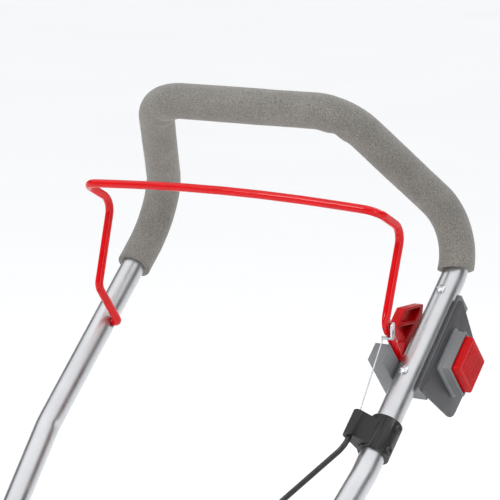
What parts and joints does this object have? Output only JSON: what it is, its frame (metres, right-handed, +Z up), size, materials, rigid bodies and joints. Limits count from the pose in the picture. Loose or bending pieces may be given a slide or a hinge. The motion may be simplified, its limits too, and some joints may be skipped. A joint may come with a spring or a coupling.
{
  "type": "reel mower",
  "caption": "Battery reel mower with a folding tube handle, foam loop grip, pivoting start bail, side switch unit and a rear roller.",
  "frame": {"origin": "centre of the bounding box on the ground", "axes": "+Z up, the mower front faces -Y, the operator stands at +Y, +X is the side with the switch unit"},
  "size_m": [0.558, 0.9258, 0.9967],
  "materials": {
    "satin_tube": "satin brushed",
    "grey_foam": "closed-cell foam, matt",
    "red_paint": "gloss",
    "red_plastic": "satin gloss",
    "grey_plastic": "fine textured",
    "dark_plastic": "satin",
    "black_plastic": "fine textured",
    "zinc": "bright zinc plate",
    "black_steel": "powder coat",
    "blade_steel": "ground",
    "cable_black": "smooth sheath",
    "tyre_rubber": "matt"
  },
  "bodies": {
    "deck": {"side_plate_left": "black_steel", "side_plate_right": "black_steel", "rear_cross_tube": "satin_tube", "handle_stop_bar": "black_steel", "front_tie_rod": "black_steel", "catcher_pins": "zinc", "hood": "red_paint", "bed_bar": "black_steel", "bed_knife": "blade_steel", "knife_screws": "zinc", "motor_housing": "black_plastic", "motor_cover": "red_plastic", "motor": "zinc", "frame_bolts": "zinc", "wheel_axles": "zinc", "reel_bearings": "blade_steel", "belt_cover": "black_plastic", "drive_belt": "cable_black", "cable_gland": "black_plastic", "bowden_lower": "cable_black", "hub_caps": "red_plastic"},
    "lower_handle": {"lower_tubes": "satin_tube", "handle_brace": "satin_tube", "brace_clip": "black_plastic", "knuckles": "black_plastic", "fold_saddles": "black_plastic", "fold_bolts": "zinc"},
    "upper_handle": {"handle_tube": "satin_tube", "foam_grip": "grey_foam", "cable_clamp": "black_plastic", "clamp_screws": "black_steel", "switch_housing": "grey_plastic", "switch_plate": "dark_plastic", "button_bezel": "grey_plastic", "switch_screws": "zinc", "button_spring": "zinc", "pull_wire": "zinc", "bowden_upper": "cable_black"},
    "bail": {"bail": "red_paint", "cable_hook": "zinc"},
    "start_button": {"start_button": "red_plastic", "lock_plunger": "dark_plastic", "lock_wedge": "red_plastic"},
    "fold_knob_left": {"fold_knob_left": "black_plastic"},
    "fold_knob_right": {"fold_knob_right": "black_plastic"},
    "wheel_left": {"tyre_left": "tyre_rubber", "rim_left": "black_plastic"},
    "wheel_right": {"tyre_right": "tyre_rubber", "rim_right": "black_plastic"},
    "reel": {"reel_shaft": "blade_steel", "reel_blades": "blade_steel", "reel_spiders": "black_steel", "reel_pulley": "blade_steel"},
    "motor_rotor": {"motor_shaft": "zinc", "motor_pulley": "blade_steel"},
    "roller_carriage": {"roller_arms": "black_steel", "roller_axle": "zinc"},
    "roller": {"rear_roller": "black_plastic"},
    "battery": {"battery": "dark_plastic"},
    "battery_button": {"battery_button": "red_plastic"}
  },
  "joints": [
    {"name": "handle_tilt", "type": "hinge", "parent": "deck", "child": "lower_handle", "pos_m": [0, -0.2885, 0.165], "axis": [1, 0, 0], "range_deg": [0, 45], "deforming": ["bowden_lower"]},
    {"name": "handle_fold", "type": "hinge", "parent": "lower_handle", "child": "upper_handle", "pos_m": [0, 0.00133, 0.42596], "axis": [1, 0, 0], "range_deg": [0, 120], "deforming": ["bowden_upper"]},
    {"name": "bail_pull", "type": "hinge", "parent": "upper_handle", "child": "bail", "pos_m": [0, 0.3506, 0.74045], "axis": [-1, 0, 0], "range_deg": [0, 31], "stiffness_Nm_per_rad": 0.8, "springref_deg": -17.19, "deforming": ["pull_wire"]},
    {"name": "button_press", "type": "slide", "parent": "upper_handle", "child": "start_button", "axis": [-1, 0, 0], "range_m": [0, 0.006], "stiffness_N_per_m": 300, "springref_m": -0.006, "deforming": ["button_spring"]},
    {"name": "fold_knob_left_turn", "type": "hinge", "parent": "lower_handle", "child": "fold_knob_left", "pos_m": [-0.17, 0.00133, 0.42596], "axis": [1, 0, 0], "continuous": true},
    {"name": "fold_knob_right_turn", "type": "hinge", "parent": "lower_handle", "child": "fold_knob_right", "pos_m": [0.17, 0.00133, 0.42596], "axis": [1, 0, 0], "continuous": true},
    {"name": "wheel_left_spin", "type": "hinge", "parent": "deck", "child": "wheel_left", "pos_m": [-0.25, -0.3481, 0.115], "axis": [1, 0, 0], "continuous": true},
    {"name": "wheel_right_spin", "type": "hinge", "parent": "deck", "child": "wheel_right", "pos_m": [0.25, -0.3481, 0.115], "axis": [1, 0, 0], "continuous": true},
    {"name": "reel_spin", "type": "hinge", "parent": "deck", "child": "reel", "pos_m": [0, -0.3361, 0.093], "axis": [1, 0, 0], "continuous": true},
    {"name": "motor_spin", "type": "hinge", "parent": "deck", "child": "motor_rotor", "pos_m": [-0.1, -0.3655, 0.203], "axis": [1, 0, 0], "continuous": true},
    {"name": "height_adjust", "type": "hinge", "parent": "deck", "child": "roller_carriage", "pos_m": [0, -0.2775, 0.072], "axis": [-1, 0, 0], "range_deg": [0, 12]},
    {"name": "roller_spin", "type": "hinge", "parent": "roller_carriage", "child": "roller", "pos_m": [0, -0.1995, 0.025], "axis": [1, 0, 0], "continuous": true},
    {"name": "battery_slide", "type": "slide", "parent": "deck", "child": "battery", "axis": [0, 1, 0], "range_m": [0, 0.09]},
    {"name": "battery_release", "type": "slide", "parent": "battery", "child": "battery_button", "axis": [0, -1, 0], "range_m": [0, 0.003], "stiffness_N_per_m": 400, "springref_m": -0.004}
  ],
  "couplings": [
    {"joint": "motor_spin", "follows": "reel_spin", "ratio": 2.8333}
  ]
}
